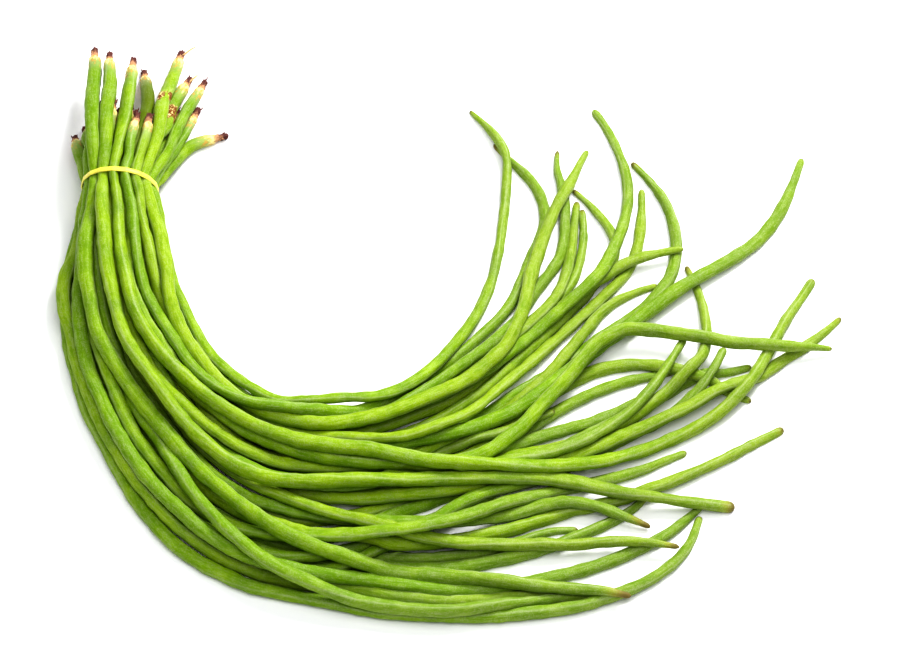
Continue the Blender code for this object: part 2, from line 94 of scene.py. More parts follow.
# The grain of the pods' skin: mottling and streaks in waves to a metre, and the streaks' stretch.
SKIN_GRAIN = (420.0, 900.0, 0.13)
BAND_GRAIN = (500.0, 900.0, 0.3)
# Shares of a pod's length at which its fullness settings hold.
FULLNESS_PLACES = (0.2, 0.4, 0.55, 0.78)
# Length of a sharp tip's rounding, what bluntness adds to it, and the rounding of a stub's end.
TIP_ROUNDING, BLUNT_ROUNDING, STUB_ROUNDING = 0.0015, 0.0030, 0.0005
# How far beyond the stub the flesh comes to its full swelling, and how far from the tip it ebbs.
FLESH_RISE, FLESH_EBB = 0.008, 0.02
# How far from the stub a pod may be dulled, and over what length the dulling ends.
DULL_REACH, DULL_END = 0.11, 0.04
# Distances from the band between which a pod becomes free to sway.
SWAY_FREE = (0.008, 0.04)
# The middle of the view, from the middle of the band.
VIEW_FROM_BAND = (0.182, -0.0815)
# Pods with scars: where a scar starts and ends along the pod from its stub, and how bad it is.
SCARS = {"pod_23": (0.0, 0.034, 1.0), "pod_02": (0.005, 0.013, 0.55), "pod_10": (0.004, 0.012, 0.5),
         "pod_04": (0.040, 0.058, 0.8), "pod_15": (0.010, 0.026, 0.35), "pod_03": (0.002, 0.016, 0.6),
         "pod_17": (0.026, 0.052, 1.0)}
# Pods that have dulled to olive toward their stubs.
DULLED = {"pod_16": 1.0, "pod_21": 0.6, "pod_12": 0.5, "pod_13": 0.4, "pod_29": 0.4}
# Tips that differ from the usual one: how blunt a tip is, and how far it has browned.
USUAL_TIP = (0.62, 0.0012)
TIPS = {"pod_01": (0.45, 0.0015), "pod_02": (0.50, 0.0045), "pod_03": (0.35, 0.0030),
        "pod_04": (0.50, 0.0008), "pod_05": (0.70, 0.0020), "pod_06": (0.70, 0.0020),
        "pod_07": (0.50, 0.0030), "pod_08": (0.80, 0.0006), "pod_09": (0.60, 0.0006),
        "pod_11": (0.55, 0.0030), "pod_14": (0.45, 0.0035), "pod_15": (0.80, 0.0015),
        "pod_16": (0.40, 0.0012), "pod_17": (0.50, 0.0020), "pod_18": (0.80, 0.0008),
        "pod_22": (0.60, 0.0040), "pod_27": (0.95, 0.0045), "pod_28": (0.75, 0.0025),
        "pod_29": (0.60, 0.0060), "pod_30": (0.45, 0.0070), "pod_31": (0.40, 0.0050),
        "pod_33": (0.45, 0.0080), "pod_34": (0.40, 0.0010)}
# Stubs that keep a dry strand of the flower stalk: how far it reaches across, up the table and upward.
STRANDS = {"pod_04": (0.0100, 0.0062, 0.002), "pod_17": (0.0062, 0.0056, 0.001)}


# --- settings -----------------------------------------------------------------------------------

def length(name, description, default):
    return bpy.props.FloatProperty(
        name=name, description=description, default=default, unit="LENGTH", precision=5)


def amount(name, description, default):
    return bpy.props.FloatProperty(name=name, description=description, default=default)


def degrees(name, description, default):
    return bpy.props.FloatProperty(
        name=name, description=description, default=math.radians(default), subtype="ANGLE")


def colour(name, description, default):
    return bpy.props.FloatVectorProperty(
        name=name, description=description, default=default, size=3, min=0.0, max=1.0, subtype="COLOR")


class BeanPodSettings(bpy.types.PropertyGroup):
    sides: bpy.props.IntProperty(name="Sides", description="Facets round a pod", default=28, min=8)
    ring_spacing: length("Ring Spacing", "Distance between the rings of a pod's skin", 0.0021)
    end_spacing: length("End Spacing", "Distance between rings near the stub and the tip", 0.0006)
    end_length: length("End Length", "How far from each end the rings lie closer", 0.010)
    stalk_fullness: amount("Stalk Fullness", "Skin radius as a share of the frame's, near the stub", 1.07)
    middle_fullness: amount("Middle Fullness", "The same share half way along a pod", 1.05)
    tip_fullness: amount("Tip Fullness", "The same share near the tip", 1.21)
    neck: amount("Neck", "Width of a pod next to its collar, as a share of its full width", 0.92)
    neck_reach: length("Neck Reach", "How far beyond its collar a pod comes to its full width", 0.014)
    tip_reach: length("Tip Reach", "How far from the tip a pod narrows", 0.045)
    waver: amount("Waver", "Slow change of thickness along a pod, as a share of it", 0.20)
    oval: amount("Oval", "How much flatter a pod is one way", 0.16)
    seed_spacing: length("Seed Spacing", "Distance from one seed swelling to the next", 0.0125)
    seed_swell: length("Seed Swell", "How far a seed pushes the skin out", 0.00022)
    lump: length("Lump", "Height of the slow unevenness of the skin", 0.0006)
    rib: length("Rib", "Height of the flat sides and creases that run along a pod", 0.0005)
    sway: length("Sway", "How far a pod strays from its smooth run", 0.0009)
    groove: length("Groove", "Depth of the two grooves beside each seam of the pod", 0.00020)
    stub_length: length("Stub Length", "Length of the dried stub of the flower stalk", 0.0092)
    collar_length: length("Collar Length", "Length of the pale collar from the stub to the pod", 0.0054)
    stub_radius: length("Stub Radius", "Radius of the stub", 0.0020)
    ragged: amount("Ragged", "Depth of the stub's tears and folds, as a share of its radius", 1.4)
    prongs: bpy.props.IntProperty(
        name="Prongs", description="Dry prongs at the end of each stub", default=3, min=0)
    prong_length: length("Prong Length", "Reach of a stub's prongs", 0.0036)
    skin_mid: colour("Skin", "Usual colour of the skin", (0.255, 0.405, 0.002))
    skin_warm: colour("Warm Skin", "Colour of the pods that lean to yellow", (0.285, 0.380, 0.004))
    # Pale flecks and worn places; its bluish-white tone also stands in for the whitish sheen of highlights, a
    # painted sheen.
    skin_pale_and_sheen: colour("Pale Skin", "Colour of pale flecks and worn places", (0.540, 0.570, 0.390))
    skin_dark: colour("Deep Skin", "Colour of the deeper patches", (0.095, 0.205, 0.001))
    skin_faded: colour("Faded Skin", "Colour that pods fade to toward their tips", (0.210, 0.270, 0.060))
    skin_dull: colour("Dull Skin", "Colour of pods that have dulled to olive", (0.105, 0.150, 0.002))
    collar: colour("Collar", "Pale ring where the stub leaves the pod", (0.900, 0.740, 0.330))
    rust: colour("Rust", "Orange brown marks on the collar", (0.620, 0.300, 0.060))
    stub: colour("Stub", "Dried stub of the flower stalk", (0.500, 0.280, 0.150))
    stub_dark: colour("Stub Tip", "Darkened tears and tip of the stub", (0.130, 0.050, 0.045))
    scar: colour("Scar", "Brown scars", (0.190, 0.070, 0.015))
    withered: colour("Withered", "Colour of withered tips", (0.110, 0.075, 0.030))


class BeanBandSettings(bpy.types.PropertyGroup):
    width: length("Width", "Width of the flat rubber band", 0.0029)
    thickness: length("Thickness", "Thickness of the rubber band", 0.0008)
    slant: degrees("Slant", "Turn of the band's plane about the upright axis", -5.5)
    rubber: colour("Rubber", "Colour of the rubber", (0.880, 0.770, 0.110))


class BeanStageSettings(bpy.types.PropertyGroup):
    floor: colour("Floor", "Colour of the floor", (0.95, 0.94, 0.96))
    elevation: degrees("Elevation", "Height of the camera above the horizon", 60)
    distance: length("Distance", "Distance from the camera to the middle of the view", 8.0)
    view_width: length("View Width", "Width of floor that the camera takes in", 0.495)
    key_power: bpy.props.FloatProperty(
        name="Key Light", description="Power of the slanting light", default=42.0, unit="POWER")
    top_power: bpy.props.FloatProperty(
        name="Top Light", description="Power of the light overhead", default=26.0, unit="POWER")
    sky: amount("Sky", "Strength of the even light from all round", 0.32)


# --- node helpers -------------------------------------------------------------------------------

def link(tree, value, socket):
    """Feeds a socket from a field or another socket, or sets it to a plain value."""
    if isinstance(value, Field):
        value = value.socket
    if isinstance(value, bpy.types.NodeSocket):
        tree.links.new(value, socket)
    else:
        socket.default_value = value


def add_node(tree, kind, inputs=None, **settings):
    node = tree.nodes.new(kind)
    for name, value in settings.items():
        setattr(node, name, value)
    for key, value in (inputs or {}).items():
        link(tree, value, node.inputs[key])
    return node


class Field:
    """A number or vector socket that can be reckoned with like a number. It makes a math node per step."""

    def __init__(self, tree, socket):
        self.tree, self.socket = tree, socket

    def step(self, operation, *others):
        node = add_node(self.tree, "ShaderNodeMath", operation=operation)
        for k, value in enumerate((self,) + others):
            link(self.tree, value, node.inputs[k])
        return Field(self.tree, node.outputs[0])

    def __add__(self, other):
        return self.step("ADD", other)

    def __sub__(self, other):
        return self.step("SUBTRACT", other)

    def __mul__(self, other):
        return self.step("MULTIPLY", other)

    def __truediv__(self, other):
        return self.step("DIVIDE", other)

    def power(self, other):
        return self.step("POWER", other)

    def cos(self):
        return self.step("COSINE")

    def sin(self):
        return self.step("SINE")

    def exp(self):
        return self.step("EXPONENT")

    def at_least(self, other):
        return self.step("MAXIMUM", other)

    def at_most(self, other):
        return self.step("MINIMUM", other)

    def ramp(self, low, high, out_low=0.0, out_high=1.0):
        """Turns smoothly from out_low at low to out_high at high."""
        node = add_node(self.tree, "ShaderNodeMapRange", interpolation_type="SMOOTHSTEP")
        for key, value in zip((0, 1, 2, 3, 4), (self, low, high, out_low, out_high)):
            link(self.tree, value, node.inputs[key])
        return Field(self.tree, node.outputs[0])


def vector_of(tree, x, y, z):
    node = add_node(tree, "ShaderNodeCombineXYZ", {0: x, 1: y, 2: z})
    return node.outputs[0]


def noise(tree, place, scale, detail=2.0, roughness=0.5, shift=None):
    """A noise node at a place, giving numbers from about 0 to 1."""
    dimensions = "3D" if shift is None else "4D"
    node = add_node(tree, "ShaderNodeTexNoise", {"Vector": place, "Scale": scale, "Detail": detail,
                                                 "Roughness": roughness}, noise_dimensions=dimensions)
    if shift is not None:
        link(tree, shift, node.inputs["W"])
    return node


# --- the run of a pod, read from the frame -------------------------------------------------------

def merged(mesh):
    """Corner places and neighbours of a mesh of loose triangles, once its corners are brought together."""
    body = bmesh.new()
    body.from_mesh(mesh)
    bmesh.ops.remove_doubles(body, verts=body.verts[:], dist=CORNER_MERGE)
    body.verts.index_update()
    corners = np.array([corner.co[:] for corner in body.verts])
    neighbours = [{edge.other_vert(corner).index for edge in corner.link_edges} for corner in body.verts]
    body.free()
    return corners, neighbours


def levels_from(pole, neighbours):
    """The sets of corners met one after another when walking over a mesh from one corner."""
    seen, levels = {pole}, [[pole]]
    while levels[-1]:
        levels.append(sorted({b for a in levels[-1] for b in neighbours[a]} - seen))
        seen.update(levels[-1])
    return levels[:-1]


def is_tube(levels):
    """Whether a walk went from one closing pole through whole rings to the other pole."""
    return len(levels[-1]) == 1 and all(len(ring) == CAD_SIDES for ring in levels[1:-1])


def pod_run(name, band_centre):
    """Centres and radii along a pod, from its stub to its tip."""
    corners, neighbours = merged(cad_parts[name].data)
    walks = [levels_from(pole, neighbours) for pole in range(len(corners))]
    walks = [levels for levels in walks if is_tube(levels)]
    if len(walks) != 2:
        raise RuntimeError(f"{name} is not a closed tube with {CAD_SIDES} sides")
    centres = np.array([corners[ring].mean(axis=0) for ring in walks[0]])
    radii = np.array([np.sqrt(((corners[ring] - centre)**2).sum(axis=1)).max()
                      for ring, centre in zip(walks[0], centres)])
    reach = np.sqrt(((centres[[0, -1]] - band_centre)**2).sum(axis=1))
    return (centres, radii) if reach[0] < reach[1] else (centres[::-1], radii[::-1])


def ring_places(total, settings):
    """Distances of the skin's rings from the stub: closer together near both ends."""
    fine = np.linspace(0, total, 4000)
    to_end = np.minimum(fine, total - fine)
    near = settings.end_length
    spacing = np.interp(to_end, (near, 2 * near), (settings.end_spacing, settings.ring_spacing))
    count = np.concatenate(([0.0], np.cumsum((1 / spacing)[:-1] * fine[1])))
    return np.interp(np.linspace(0, count[-1], int(count[-1]) + 1), count, fine)


def smooth_run(centres, radii, settings):
    """The run as a fine smooth line: places, radii and distance from the stub."""
    padded = np.vstack((2 * centres[0] - centres[1], centres, 2 * centres[-1] - centres[-2]))
    t = np.linspace(0, 1, SPAN_STEPS, endpoint=False)[:, None]
    spans = [0.5 * (2 * b + (c - a) * t + (2 * a - 5 * b + 4 * c - d) * t**2 + (3 * b - a - 3 * c + d) * t**3)
             for a, b, c, d in zip(padded, padded[1:], padded[2:], padded[3:])]
    line = np.vstack(spans + [centres[-1:]])
    along = np.concatenate(([0.0], np.cumsum(np.sqrt(((line[1:] - line[:-1])**2).sum(axis=1)))))
    places = ring_places(along[-1], settings)
    run = np.stack([np.interp(places, along, axis) for axis in line.T], axis=1)
    return run, np.interp(places, along[::SPAN_STEPS], radii), places


# --- the skin of a pod ---------------------------------------------------------------------------

POD_INPUTS = (
    ("Run", "NodeSocketGeometry"), ("Sides", "NodeSocketInt"), ("Number", "NodeSocketFloat"),
    ("Seed Spacing", "NodeSocketFloat"), ("Seed Swell", "NodeSocketFloat"), ("Lump", "NodeSocketFloat"),
    ("Rib", "NodeSocketFloat"), ("Sway", "NodeSocketFloat"), ("Groove", "NodeSocketFloat"),
    ("Waver", "NodeSocketFloat"), ("Oval", "NodeSocketFloat"), ("Ragged", "NodeSocketFloat"),
    ("Skin", "NodeSocketMaterial"))


def new_tree(name, inputs):
    """A geometry tree with its inputs and one geometry output, and the sockets that give the inputs."""
    tree = bpy.data.node_groups.new(name, "GeometryNodeTree")
    for label, kind in inputs:
        tree.interface.new_socket(label, in_out="INPUT", socket_type=kind)
    tree.interface.new_socket("Shape", in_out="OUTPUT", socket_type="NodeSocketGeometry")
    return tree, tree.nodes.new("NodeGroupInput").outputs


def finish_tree(tree, geometry, material):
    """Ends a tree: smooth, real and dressed in its material."""
    smooth = add_node(tree, "GeometryNodeSetShadeSmooth", {"Geometry": geometry})
    real = add_node(tree, "GeometryNodeRealizeInstances", {"Geometry": smooth.outputs[0]})
    dressed = add_node(tree, "GeometryNodeSetMaterial", {"Geometry": real.outputs[0], "Material": material})
    out = tree.nodes.new("NodeGroupOutput")
    tree.links.new(dressed.outputs[0], out.inputs[0])


def carried(tree, name):
    """A number that the run's points carry."""
    node = add_node(tree, "GeometryNodeInputNamedAttribute", {"Name": name}, data_type="FLOAT")
    return Field(tree, node.outputs[0])


def noise_at(tree, place, scale, shift=None, detail=1.0):
    """Noise at a place, as a number from about -1 to 1."""
    return (Field(tree, noise(tree, place, scale, detail, 0.5, shift).outputs[0]) - 0.5) * 2.0


def scaled(tree, vector, factor, operation="SCALE"):
    """A vector worked on by a number, or by another vector when the operation takes one."""
    key = "Scale" if operation == "SCALE" else 1
    return add_node(tree, "ShaderNodeVectorMath", {0: vector, key: factor}, operation=operation).outputs[0]


def swayed(tree, geometry, sway, number):
    """The run with slow stray bends beyond the band, the same each time for a pod's number."""
    position = add_node(tree, "GeometryNodeInputPosition").outputs[0]
    stray = noise(tree, position, SWAY_SCALE, 1.0, 0.5, number * 3.1).outputs["Color"]
    centred = scaled(tree, stray, (0.5, 0.5, 0.5), "SUBTRACT")
    free = carried(tree, "from_band").ramp(*SWAY_FREE)
    offset = scaled(tree, centred, free * sway * 4.0)
    return add_node(tree, "GeometryNodeSetPosition", {"Geometry": geometry, "Offset": offset}).outputs[0]


def swept(tree, given, number):
    """A tube along the run that turns slowly about itself and wavers in thickness."""
    curve = add_node(tree, "GeometryNodeMeshToCurve", {"Mesh": given["Run"]}).outputs[0]
    curve = swayed(tree, curve, given["Sway"], number)
    along = carried(tree, "from_stub")
    turn = noise_at(tree, vector_of(tree, along, 0.0, 0.0), TURN_SCALE, number) * 3.5 + number * 2.4
    curve = add_node(tree, "GeometryNodeSetCurveTilt", {"Curve": curve, "Tilt": turn}).outputs[0]
    circle = add_node(tree, "GeometryNodeCurvePrimitiveCircle", {"Resolution": given["Sides"], "Radius": 1.0})
    share = Field(tree, add_node(tree, "GeometryNodeSplineParameter").outputs["Factor"])
    profile = add_node(tree, "GeometryNodeStoreNamedAttribute", {
        "Geometry": circle.outputs[0], "Name": "angle", "Value": share * math.tau})
    waver = noise_at(tree, vector_of(tree, along, 0.0, 3.0), WAVER_SCALE, number, 2.0) * given["Waver"]
    girth = carried(tree, "girth") * (waver * carried(tree, "flesh") + 1.0)
    return add_node(tree, "GeometryNodeCurveToMesh", {
        "Curve": curve, "Profile Curve": profile.outputs[0], "Scale": girth, "Fill Caps": True}).outputs[0]


def pod_tree():
    """Geometry nodes that sweep a pod's skin along its run and raise its seeds, seams and lumps."""
    tree, given = new_tree("Pod Skin", POD_INPUTS)
    number = Field(tree, given["Number"])
    tube = swept(tree, given, number)
    angle, along, girth = (carried(tree, name) for name in ("angle", "from_stub", "girth"))
    straight = vector_of(tree, angle.cos() * girth, angle.sin() * girth, along + number * 1.7)
    drift = noise_at(tree, vector_of(tree, 0.0, 0.0, along), SEED_DRIFT_SCALE, number)
    phase = (along / given["Seed Spacing"] + drift * 1.1) * math.tau
    showing = noise_at(tree, vector_of(tree, along, 0.0, 0.0), SEED_SHOW_SCALE, number + 9.0)
    seeds = phase.cos() * showing.ramp(-0.4, 0.4) * given["Seed Swell"]
    lumps = noise_at(tree, straight, LUMP_SCALE, detail=2.0) * given["Lump"]
    lengthwise = scaled(tree, straight, (1.0, 1.0, 0.07), "MULTIPLY")
    ribs = noise_at(tree, lengthwise, RIB_SCALE, detail=2.0) * given["Rib"]
    seam = angle.cos().power(2.0) - 1.0
    ridge = (seam * 60.0).exp()
    seams = (ridge * 1.2 - (seam * 12.0).exp()) * given["Groove"]
    flatter = (seam + 0.5) * given["Oval"] * girth
    on_stub = carried(tree, "on_stub")
    torn = scaled(tree, straight, (1.0, 1.0, 0.28), "MULTIPLY")
    tears = noise_at(tree, torn, TEAR_SCALE, number, 2.0) * given["Ragged"] * on_stub * girth
    shift = (seeds + lumps + ribs + seams + flatter) * carried(tree, "flesh") + tears
    normal = add_node(tree, "GeometryNodeInputNormal").outputs[0]
    raised = add_node(tree, "GeometryNodeSetPosition", {
        "Geometry": tube, "Offset": scaled(tree, normal, shift)})
    position = add_node(tree, "GeometryNodeInputPosition").outputs[0]
    x, y, z = add_node(tree, "ShaderNodeSeparateXYZ", {0: position}).outputs
    laid = add_node(tree, "GeometryNodeSetPosition", {
        "Geometry": raised.outputs[0],
        "Position": vector_of(tree, x, y, Field(tree, z).at_least(TABLE))})
    kept = laid.outputs[0]
    for name, value, kind in (("straight", straight, "FLOAT_VECTOR"), ("seam", ridge, "FLOAT")):
        node = add_node(tree, "GeometryNodeStoreNamedAttribute", {"Geometry": kept, "Name": name},
                        data_type=kind)
        link(tree, value, node.inputs["Value"])
        kept = node.outputs[0]
    finish_tree(tree, kept, given["Skin"])
    return tree


def run_mesh(name, lines):
    """Lines of edges that carry numbers at their points."""
    points, edges = [], []
    for line, _ in lines:
        edges += [(k, k + 1) for k in range(len(points), len(points) + len(line) - 1)]
        points += [tuple(point) for point in line]
    mesh = bpy.data.meshes.new(name)
    mesh.from_pydata(points, edges, [])
    for key in lines[0][1]:
        values = np.concatenate([carried_along[key] for _, carried_along in lines])
        mesh.attributes.new(key, "FLOAT", "POINT").data.foreach_set("value", values.astype(np.float32))
    return mesh


def add_object(name, data):
    """A new object in the scene."""
    made = bpy.data.objects.new(name, data)
    bpy.context.scene.collection.objects.link(made)
    return made


def through_nodes(name, mesh, tree, inputs):
    """A plain mesh object made by sending a mesh through a tree with the given inputs."""
    source = add_object(name + "_source", mesh)
    modifier = source.modifiers.new("shape", "NODES")
    modifier.node_group = tree
    sockets = {item.name: item.identifier for item in tree.interface.items_tree if item.in_out == "INPUT"}
    for key, value in inputs.items():
        modifier[sockets[key]] = value
    graph = bpy.context.evaluated_depsgraph_get()
    made = bpy.data.meshes.new_from_object(source.evaluated_get(graph))
    bpy.data.objects.remove(source)
    made.name = name
    return add_object(name, made)


def end_shape(settings, radius, from_stub, from_tip, bluntness):
    """Skin radius along a pod, with its stub, collar and rounded tip, and how fleshy it is there."""
    stub_end = settings.stub_length
    shoulder = stub_end + settings.collar_length
    body = radius * np.interp(from_stub / from_stub[-1], FULLNESS_PLACES, (
        settings.stalk_fullness, settings.middle_fullness, settings.middle_fullness, settings.tip_fullness))
    body = body * np.interp(from_stub, (shoulder, shoulder + settings.neck_reach), (settings.neck, 1.0))
    near_tip = np.clip(from_tip / settings.tip_reach, 0, 1)
    thick = np.interp(settings.tip_reach, from_tip[::-1], body[::-1])
    narrowed = thick * (bluntness + (1 - bluntness) * near_tip)
    body = np.where(near_tip < 1, np.maximum(body, narrowed), body)
    stub = settings.stub_radius * np.interp(from_stub / stub_end, (0, 0.2, 0.6, 1), (0.45, 0.8, 0.85, 1.15))
    rise = np.clip((from_stub - stub_end) / (shoulder - stub_end), 0, 1)
    full = np.interp(shoulder, from_stub, body)
    shaped = np.where(from_stub < shoulder, stub + (full - stub) * np.sqrt(1 - (1 - rise)**2), body)
    rounding = np.clip(from_tip / (TIP_ROUNDING + BLUNT_ROUNDING * bluntness), 0, 1)
    shaped = shaped * np.sqrt(1 - (1 - rounding)**2 * 0.98)
    shaped *= np.sqrt(np.clip(from_stub / STUB_ROUNDING, 0.05, 1))
    flesh = np.clip((from_stub - stub_end) / FLESH_RISE, 0, 1) * np.clip(from_tip / FLESH_EBB, 0.15, 1)
    return shaped, flesh


def dress_run(name, number, settings, run, radius, from_stub, band_centre):
    """Everything that the points of a pod's run carry."""
    from_tip = from_stub[-1] - from_stub
    bluntness, browned = TIPS.get(name, USUAL_TIP)
    girth, flesh = end_shape(settings, radius, from_stub, from_tip, bluntness)
    start, end, depth = SCARS.get(name, (0.0, 1.0, 0.0))
    scar = depth * np.clip(1.3 - 2.6 * np.abs(from_stub - (start + end) / 2) / (end - start), 0, 1)
    dulled = DULLED.get(name, 0.0) * np.clip((DULL_REACH - from_stub) / DULL_END, 0, 1)
    tint = np.random.default_rng(number).uniform()
    return {
        "girth": girth, "flesh": flesh, "from_stub": from_stub, "from_tip": from_tip,
        "from_band": np.abs(run[:, 1] - band_centre[1]), "scarred": scar, "dulled": dulled,
        "on_stub": np.clip(1.4 - from_stub / settings.stub_length, 0, 1),
        "tint": np.full(len(run), tint), "browned": np.full(len(run), browned)}


def wisp(root, reach, bow, thickness, shade_from, shade_to):
    """A thin dry wisp from a root: its points and what they carry. The shades are places along a stub."""
    share = np.linspace(0, 1, WISP_POINTS)
    line = root + np.outer(share, reach) + np.outer(np.sin(math.pi * share), bow)
    line[:, 2] = np.maximum(line[:, 2], thickness)
    steady = {"flesh": 0.0, "scarred": 0.0, "dulled": 0.0, "browned": 0.0, "from_band": 0.04, "on_stub": 0.4,
              "tint": 0.5, "from_tip": 0.1}
    carried_along = {key: np.full(WISP_POINTS, value) for key, value in steady.items()}
    carried_along["girth"] = thickness * np.interp(share, (0, 0.15, 0.7, 1), (1.6, 1.0, 0.7, 0.25))
    carried_along["from_stub"] = np.interp(share, (0, 1), (shade_from, shade_to))
    return line, carried_along


def wisps_of(name, number, run, from_stub, settings):
    """The prongs at the end of a pod's stub, and the pale strand that a few stubs keep."""
    def place(distance):
        return np.array([np.interp(distance, from_stub, axis) for axis in run.T])
    rng = np.random.default_rng(1000 + number)
    ahead = place(0) - place(settings.stub_length)
    ahead /= np.sqrt((ahead**2).sum())
    across = np.cross(ahead, (0, 0, 1))
    upward = np.cross(across, ahead)
    made = []
    for turn in (np.arange(settings.prongs) + rng.uniform()) * math.tau / settings.prongs:
        out = across * math.cos(turn) + upward * math.sin(turn)
        root = place(settings.stub_length * rng.uniform(0.2, 0.5)) + out * settings.stub_radius * 0.4
        reach = (ahead + out * rng.uniform(0.1, 0.6)) * settings.prong_length * rng.uniform(0.6, 1.2)
        made.append(wisp(root, reach, out * 0.0003, 0.00045, settings.stub_length * 0.45, 0.0))
    if name in STRANDS:
        reach = np.array(STRANDS[name])
        pale = settings.stub_length * 0.97
        root = place(settings.stub_length * 0.7)
        made.append(wisp(root, reach, reach[[1, 0, 2]] * 0.12, 0.0006, pale, pale))
    return made


def make_pod(name, number, tree, material, settings, band_centre):
    """Dresses one pod of the frame in its skin."""
    centres, radii = pod_run(name, band_centre)
    run, radius, from_stub = smooth_run(centres, radii, settings)
    lines = [(run, dress_run(name, number, settings, run, radius, from_stub, band_centre))]
    lines += wisps_of(name, number, run, from_stub, settings)
    piece = through_nodes(name + "_skin", run_mesh(name + "_run", lines), tree, {
        "Sides": settings.sides, "Number": float(number), "Seed Spacing": settings.seed_spacing,
        "Seed Swell": settings.seed_swell, "Lump": settings.lump, "Rib": settings.rib,
        "Sway": settings.sway, "Groove": settings.groove, "Waver": settings.waver,
        "Oval": settings.oval, "Ragged": settings.ragged, "Skin": material})
    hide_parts(name)
    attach(piece, "root")


# --- materials -----------------------------------------------------------------------------------

def mix(tree, share, first, second):
    """A colour that turns from the first to the second by a share."""
    node = add_node(tree, "ShaderNodeMix", data_type="RGBA")
    link(tree, share, node.inputs["Factor"])
    for socket, value in ((node.inputs[6], first), (node.inputs[7], second)):
        link(tree, value if isinstance(value, bpy.types.NodeSocket) else (*value, 1.0), socket)
    return node.outputs[2]


def new_material(name):
    material = bpy.data.materials.new(name)
    material.use_nodes = True
    return material, material.node_tree, material.node_tree.nodes["Principled BSDF"]


def finish_shader(tree, shader, height, strength, depth, glow, glow_reach):
    """Gives a shader its bump and the light that passes under its surface."""
    bump = add_node(tree, "ShaderNodeBump", {"Strength": strength, "Distance": depth, "Height": height})
    link(tree, bump.outputs[0], shader.inputs["Normal"])
    shader.inputs["Subsurface Weight"].default_value = glow
    shader.inputs["Subsurface Radius"].default_value = glow_reach
    shader.inputs["Subsurface Scale"].default_value = 1.0


def pattern(tree, place, scale, detail, roughness):
    """Noise in a material, as a number from about 0 to 1."""
    return Field(tree, noise(tree, place, scale, detail, roughness).outputs[0])


def grain_group():
    """The shader group of uneven grain: mottling, lengthwise streaks, specks and their height."""
    made = bpy.data.node_groups.get("Grain")
    if made:
        return made
    tree = bpy.data.node_groups.new("Grain", "ShaderNodeTree")
    tree.interface.new_socket("Place", in_out="INPUT", socket_type="NodeSocketVector")
    for label in ("Mottle Scale", "Streak Scale", "Streak Reach"):
        tree.interface.new_socket(label, in_out="INPUT", socket_type="NodeSocketFloat")
    for label in ("Mottle", "Streaks", "Specks", "Height"):
        tree.interface.new_socket(label, in_out="OUTPUT", socket_type="NodeSocketFloat")
    given = tree.nodes.new("NodeGroupInput").outputs
    place = given["Place"]
    stretched = scaled(tree, place, vector_of(tree, 1.0, 1.0, given["Streak Reach"]), "MULTIPLY")
    mottle = pattern(tree, place, given["Mottle Scale"], 3.0, 0.6)
    streaks = pattern(tree, stretched, given["Streak Scale"], 3.0, 0.6)
    specks = pattern(tree, place, Field(tree, given["Mottle Scale"]) * 4.0, 2.0, 0.6)
    out = tree.nodes.new("NodeGroupOutput")
    for label, value in (("Mottle", mottle), ("Streaks", streaks), ("Specks", specks),
                         ("Height", mottle * 0.5 + specks * 0.3 + streaks * 0.5)):
        link(tree, value, out.inputs[label])
    return tree


def grain(tree, place, mottle_scale, streak_scale, streak_reach):
    """The grain group placed in a material: its mottling, streaks, specks and height."""
    node = add_node(tree, "ShaderNodeGroup", node_tree=grain_group())
    for key, value in zip(("Place", "Mottle Scale", "Streak Scale", "Streak Reach"),
                          (place, mottle_scale, streak_scale, streak_reach)):
        link(tree, value, node.inputs[key])
    return [Field(tree, node.outputs[key]) for key in ("Mottle", "Streaks", "Specks", "Height")]


def painted(tree, name, vector=False):
    """What a skin's points carry, read in its material."""
    node = add_node(tree, "ShaderNodeAttribute", attribute_name=name)
    return node.outputs["Vector"] if vector else Field(tree, node.outputs["Fac"])


def skin_colour(tree, settings, place, mottle, streaks, specks):
    """Mottled green with deeper patches, pale flecks and pale seams whose bluish-white tone is partly painted
    sheen, dulled on some pods.
    """
    tint, seam = painted(tree, "tint"), painted(tree, "seam")
    patches = pattern(tree, place, PATCH_SCALE, 2.0, 0.5)
    stalk = painted(tree, "from_stub").ramp(0.12, 0.04)
    deep = (patches + tint * 0.35 - stalk * 0.15 - 0.18).ramp(0.75, 0.25)
    colour_now = mix(tree, tint.ramp(0.2, 1.0, 0.0, 0.5), settings.skin_mid, settings.skin_warm)
    colour_now = mix(tree, deep * 0.6, colour_now, settings.skin_dark)
    faded = painted(tree, "from_tip").ramp(0.22, 0.06)
    colour_now = mix(tree, faded * 0.38, colour_now, settings.skin_faded)
    lined = (streaks * 0.7 + mottle * 0.3).ramp(0.50, 0.36)
    colour_now = mix(tree, lined * 0.35, colour_now, settings.skin_dark)
    dulled = painted(tree, "dulled") * (patches * 0.4 + 0.7)
    colour_now = mix(tree, dulled, colour_now, settings.skin_dull)
    # Pale flecks and seams: real pale marks whose bluish-white colour also paints the whitish sheen of
    # highlights.
    pale = (mottle * 0.2 + streaks * 0.35 + specks * 0.45).ramp(0.46, 0.62)
    return mix(tree, (pale * 0.26 + seam * 0.22) * (dulled * -0.7 + 1.0), colour_now, settings.skin_pale_and_sheen)


